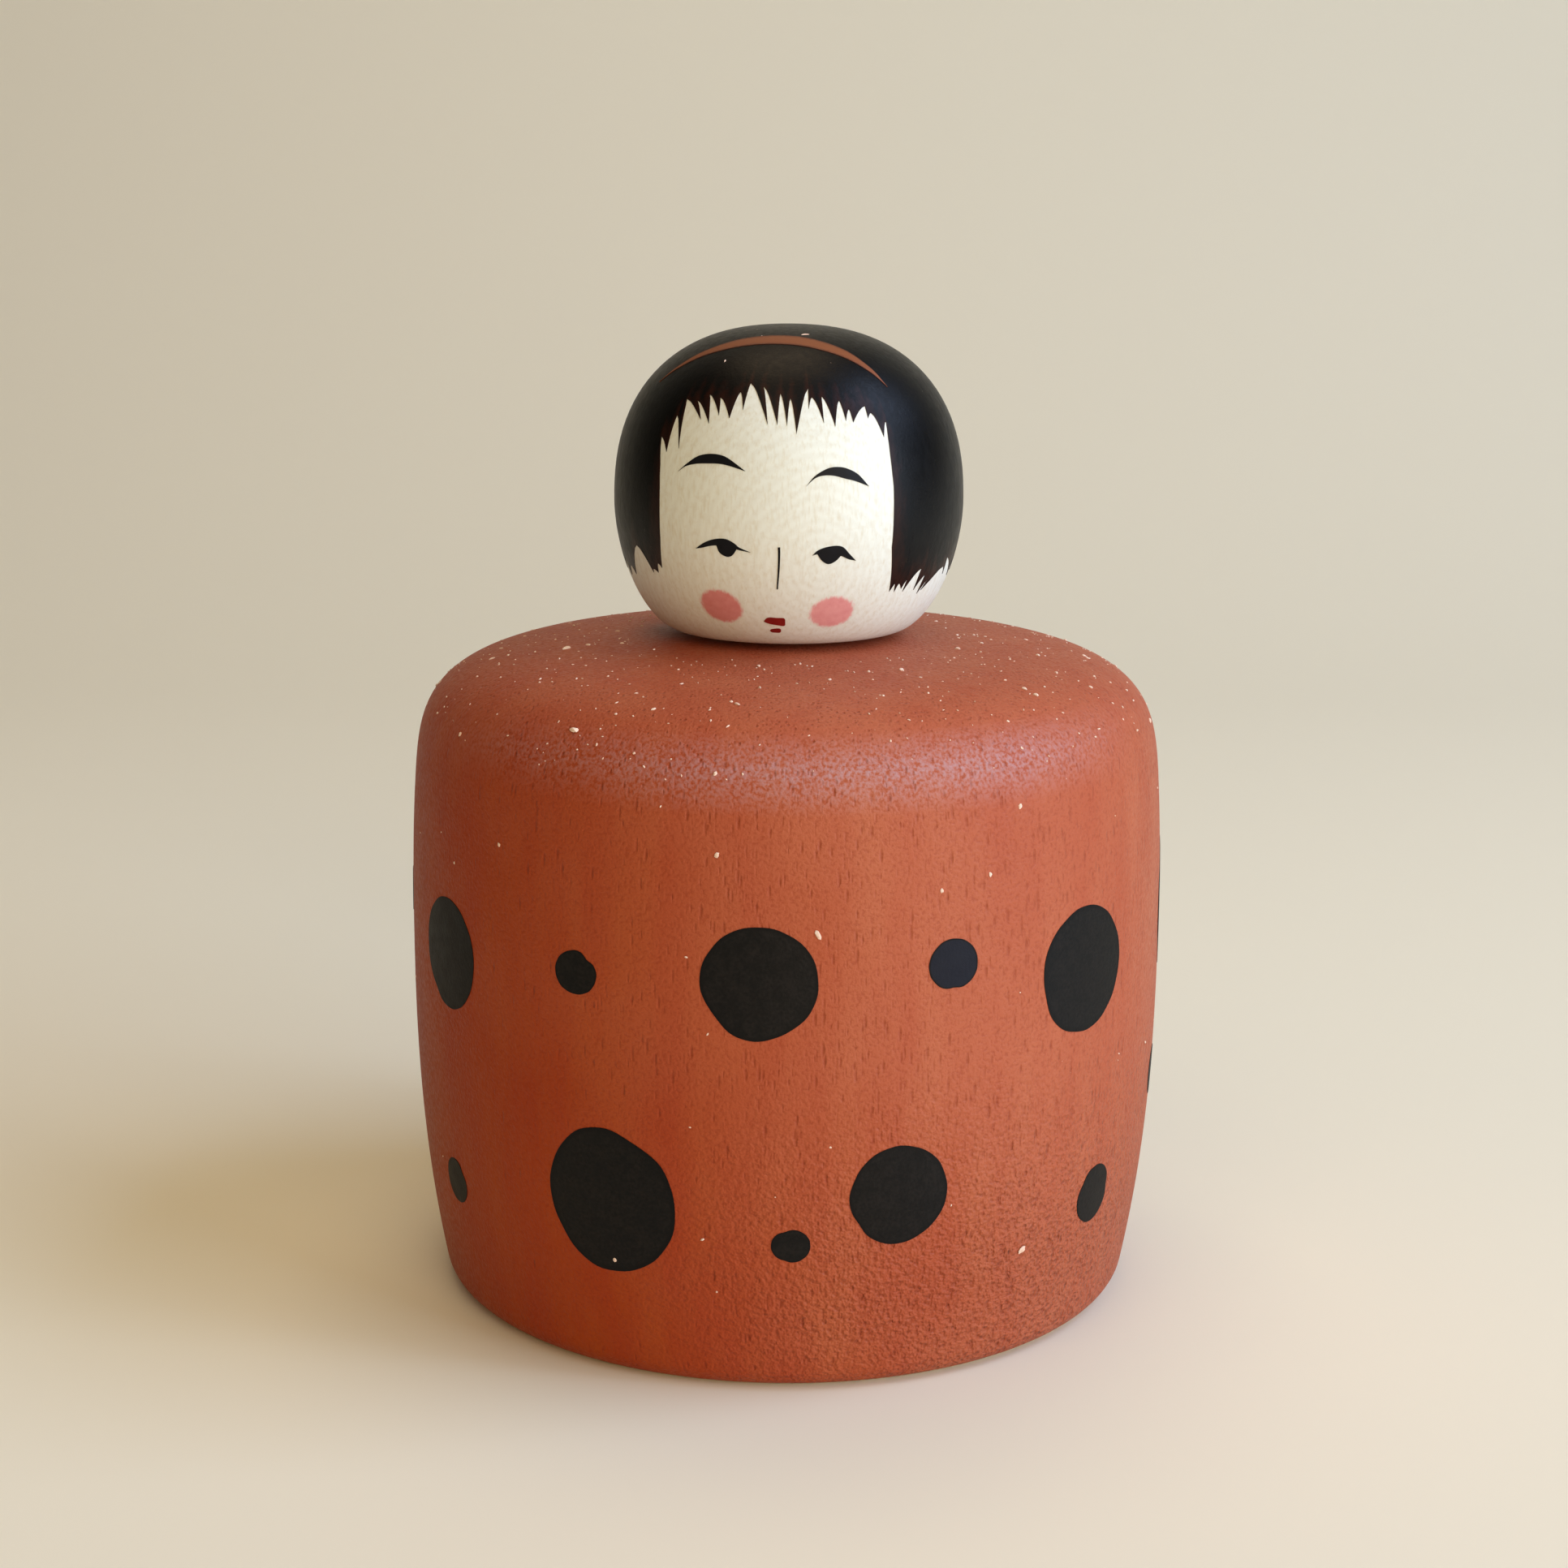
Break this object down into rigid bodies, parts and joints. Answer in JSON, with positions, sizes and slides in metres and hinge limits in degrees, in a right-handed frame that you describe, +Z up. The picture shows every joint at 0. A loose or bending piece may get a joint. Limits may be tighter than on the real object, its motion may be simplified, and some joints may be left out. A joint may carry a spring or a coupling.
{
  "type": "kokeshi doll",
  "caption": "Small turned wooden kokeshi doll: a barrel-shaped red body with black dots, and a bobbed round head that turns on a neck peg.",
  "frame": {"origin": "centre of the flat base, on the surface that the doll stands on", "axes": "+Z up along the axis of the body, the head and the neck peg; the painted front faces -Y; +X to the viewer's right of the front"},
  "size_m": [0.048, 0.048, 0.0612],
  "materials": {
    "red_stain": "brick-red stain and satin wax over fine-grained turned wood",
    "cream_ground": "thin cream-white ground over turned wood, matt to satin",
    "bare_wood": "bare turned hardwood",
    "black_paint": "black brushed paint, satin",
    "orange_paint": "brick-orange brushed paint, matt",
    "crimson_paint": "dark crimson brushed paint, satin"
  },
  "bodies": {
    "body": {"body": "red_stain"},
    "head": {"head": "cream_ground", "neck_peg": "bare_wood"}
  },
  "joints": [
    {"name": "head_turn", "type": "hinge", "parent": "body", "child": "head", "pos_m": [0, 0, 0.0423], "axis": [0, 0, 1], "continuous": true}
  ]
}
